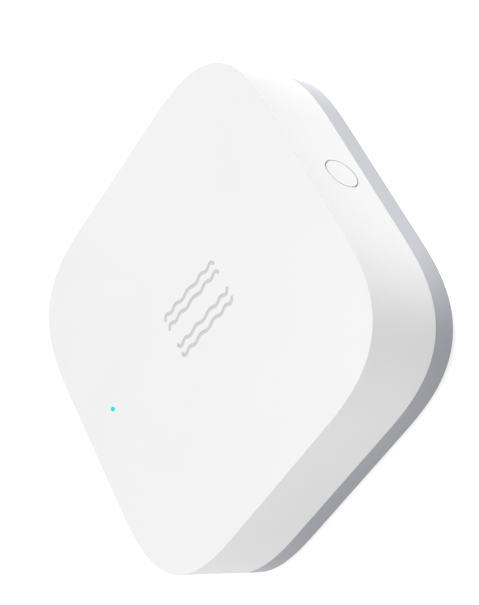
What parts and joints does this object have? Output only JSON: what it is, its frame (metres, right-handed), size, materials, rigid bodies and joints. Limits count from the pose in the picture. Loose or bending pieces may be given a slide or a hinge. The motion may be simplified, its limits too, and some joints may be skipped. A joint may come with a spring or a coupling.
{
  "type": "vibration sensor tag",
  "caption": "Soft-cornered square sensor tag with a flush side button, a light hole and wavy grooves on its face, a clip-on rear cover, an adhesive pad and a coin cell inside.",
  "frame": {"origin": "centre of the adhesive pad's back face, which sticks to the surface", "axes": "+Z out of the front face, +X to the side with the button, square sides along X and Y"},
  "size_m": [0.05, 0.05, 0.0131],
  "materials": {
    "shell_white": "fine satin moulded",
    "cover_grey": "fine satin moulded",
    "adhesive": "tacky acrylic film",
    "light_clear": "clear, lit cyan",
    "button_white": "fine satin moulded",
    "switch_black": "glass-filled moulded",
    "plunger_grey": "moulded",
    "sheet_steel": "stamped sheet",
    "tinned_metal": "tin plated",
    "screw_steel": "zinc plated",
    "board_green": "solder mask",
    "holder_ivory": "moulded",
    "cell_steel": "nickel plated",
    "gasket_grey": "moulded",
    "electrode": "pressed powder",
    "led_body": "clear lens on a white base",
    "chip_black": "moulded",
    "copper": "bare copper",
    "chip_tan": "ceramic chips with tinned ends"
  },
  "bodies": {
    "base": {"rear_cover": "cover_grey", "cover_clips": "cover_grey", "adhesive_pad": "adhesive"},
    "sensor_body": {"front_shell": "shell_white", "light_pipe": "light_clear", "switch_housing": "switch_black", "switch_frame": "sheet_steel", "switch_dome": "sheet_steel", "switch_terminals": "tinned_metal", "circuit_board": "board_green", "board_screws": "screw_steel", "cell_holder": "holder_ivory", "negative_contact": "tinned_metal", "positive_contacts": "tinned_metal", "status_led": "led_body", "radio_chip": "chip_black", "accelerometer_chip": "chip_black", "crystal": "sheet_steel", "antenna_trace": "copper", "chip_passives": "chip_tan"},
    "button": {"side_button": "button_white"},
    "plunger": {"switch_plunger": "plunger_grey"},
    "coin_cell": {"cell_can": "cell_steel", "cell_gasket": "gasket_grey", "cell_cap": "cell_steel", "cell_core": "electrode"}
  },
  "joints": [
    {"name": "body_release", "type": "slide", "parent": "base", "child": "sensor_body", "axis": [0, 0, 1], "range_m": [0, 0.03], "deforming": ["cover_clips"]},
    {"name": "button_press", "type": "slide", "parent": "sensor_body", "child": "button", "axis": [-1, 0, 0], "range_m": [0, 0.00035], "stiffness_N_per_m": 4500},
    {"name": "plunger_press", "type": "slide", "parent": "sensor_body", "child": "plunger", "axis": [-1, 0, 0], "range_m": [0, 0.00035], "deforming": ["switch_dome"]},
    {"name": "cell_release", "type": "slide", "parent": "sensor_body", "child": "coin_cell", "axis": [0, 0, -1], "range_m": [0, 0.015]}
  ],
  "couplings": [
    {"joint": "plunger_press", "follows": "button_press", "ratio": 1},
    {"joint": "cell_release", "follows": "body_release", "ratio": 0.5}
  ]
}
